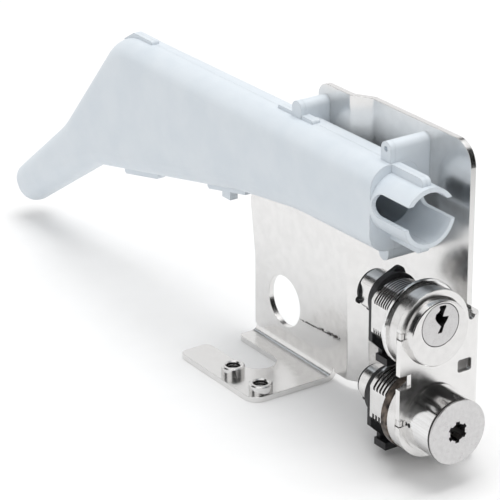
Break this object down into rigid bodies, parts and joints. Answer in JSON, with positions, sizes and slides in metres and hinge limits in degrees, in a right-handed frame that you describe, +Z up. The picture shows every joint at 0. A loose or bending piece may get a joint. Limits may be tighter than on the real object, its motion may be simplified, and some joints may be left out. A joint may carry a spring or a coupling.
{
  "type": "key interlock lock",
  "caption": "Side-by-side keyed cam locks in a folded steel bracket with a slotted foot and a split plastic wire duct; each key turns a plug and the cam behind it.",
  "frame": {"origin": "midway between the two press nuts, on the underside of the foot", "axes": "+X along the lock axes towards the key faces, +Y from the open side towards the back plate, +Z up"},
  "size_m": [0.2799, 0.0411, 0.1079],
  "materials": {
    "mounting_bracket": "satin stainless steel sheet",
    "foot_press_nuts": "zinc-plated steel",
    "duct_front_shell": "light blue-grey moulded plastic",
    "duct_rear_shell": "light blue-grey moulded plastic",
    "duct_screws": "zinc-plated steel",
    "upper_lock_housing": "nickel-plated die casting",
    "upper_plug": "nickel-plated brass",
    "upper_key_pins": "turned brass",
    "upper_driver_pins": "turned brass",
    "upper_pin_springs": "spring wire",
    "upper_spacer_ring": "light metal ring",
    "upper_ring_nut": "bright chromium-plated nut",
    "upper_stop_plate": "black oxide steel",
    "upper_cam": "black oxide steel",
    "upper_circlip": "dark spring steel",
    "upper_tail_sleeve": "turned steel",
    "lower_lock_housing": "nickel-plated die casting",
    "lower_collar": "polished chromium-plated sleeve",
    "lower_collar_pin": "steel pin",
    "lower_rotor": "satin nickel-plated face",
    "lower_key_pins": "turned brass",
    "lower_driver_pins": "turned brass",
    "lower_pin_springs": "spring wire",
    "lower_spacer_ring": "light metal ring",
    "lower_ring_nut": "bronze-brown passivated nut",
    "lower_stop_plate": "black oxide steel",
    "lower_cam": "black oxide steel",
    "lower_circlip": "dark spring steel",
    "lower_tail_sleeve": "turned steel"
  },
  "bodies": {
    "frame": {"mounting_bracket": "mounting_bracket", "foot_press_nuts": "foot_press_nuts", "duct_front_shell": "duct_front_shell", "duct_rear_shell": "duct_rear_shell", "duct_screws": "duct_screws", "upper_lock_housing": "upper_lock_housing", "upper_driver_pins": "upper_driver_pins", "upper_pin_springs": "upper_pin_springs", "upper_spacer_ring": "upper_spacer_ring", "upper_ring_nut": "upper_ring_nut", "upper_stop_plate": "upper_stop_plate", "lower_lock_housing": "lower_lock_housing", "lower_collar": "lower_collar", "lower_collar_pin": "lower_collar_pin", "lower_driver_pins": "lower_driver_pins", "lower_pin_springs": "lower_pin_springs", "lower_spacer_ring": "lower_spacer_ring", "lower_ring_nut": "lower_ring_nut", "lower_stop_plate": "lower_stop_plate"},
    "upper_rotor": {"upper_plug": "upper_plug", "upper_key_pins": "upper_key_pins", "upper_cam": "upper_cam", "upper_circlip": "upper_circlip", "upper_tail_sleeve": "upper_tail_sleeve"},
    "lower_rotor": {"lower_rotor": "lower_rotor", "lower_key_pins": "lower_key_pins", "lower_cam": "lower_cam", "lower_circlip": "lower_circlip", "lower_tail_sleeve": "lower_tail_sleeve"}
  },
  "joints": [
    {"name": "upper_key_turn", "type": "hinge", "parent": "frame", "child": "upper_rotor", "pos_m": [0.0859, 0.01355, 0.05397], "axis": [1, 0, 0], "range_deg": [0, 90]},
    {"name": "lower_key_turn", "type": "hinge", "parent": "frame", "child": "lower_rotor", "pos_m": [0.0859, 0.01355, 0.0204], "axis": [1, 0, 0], "range_deg": [0, 90]}
  ]
}
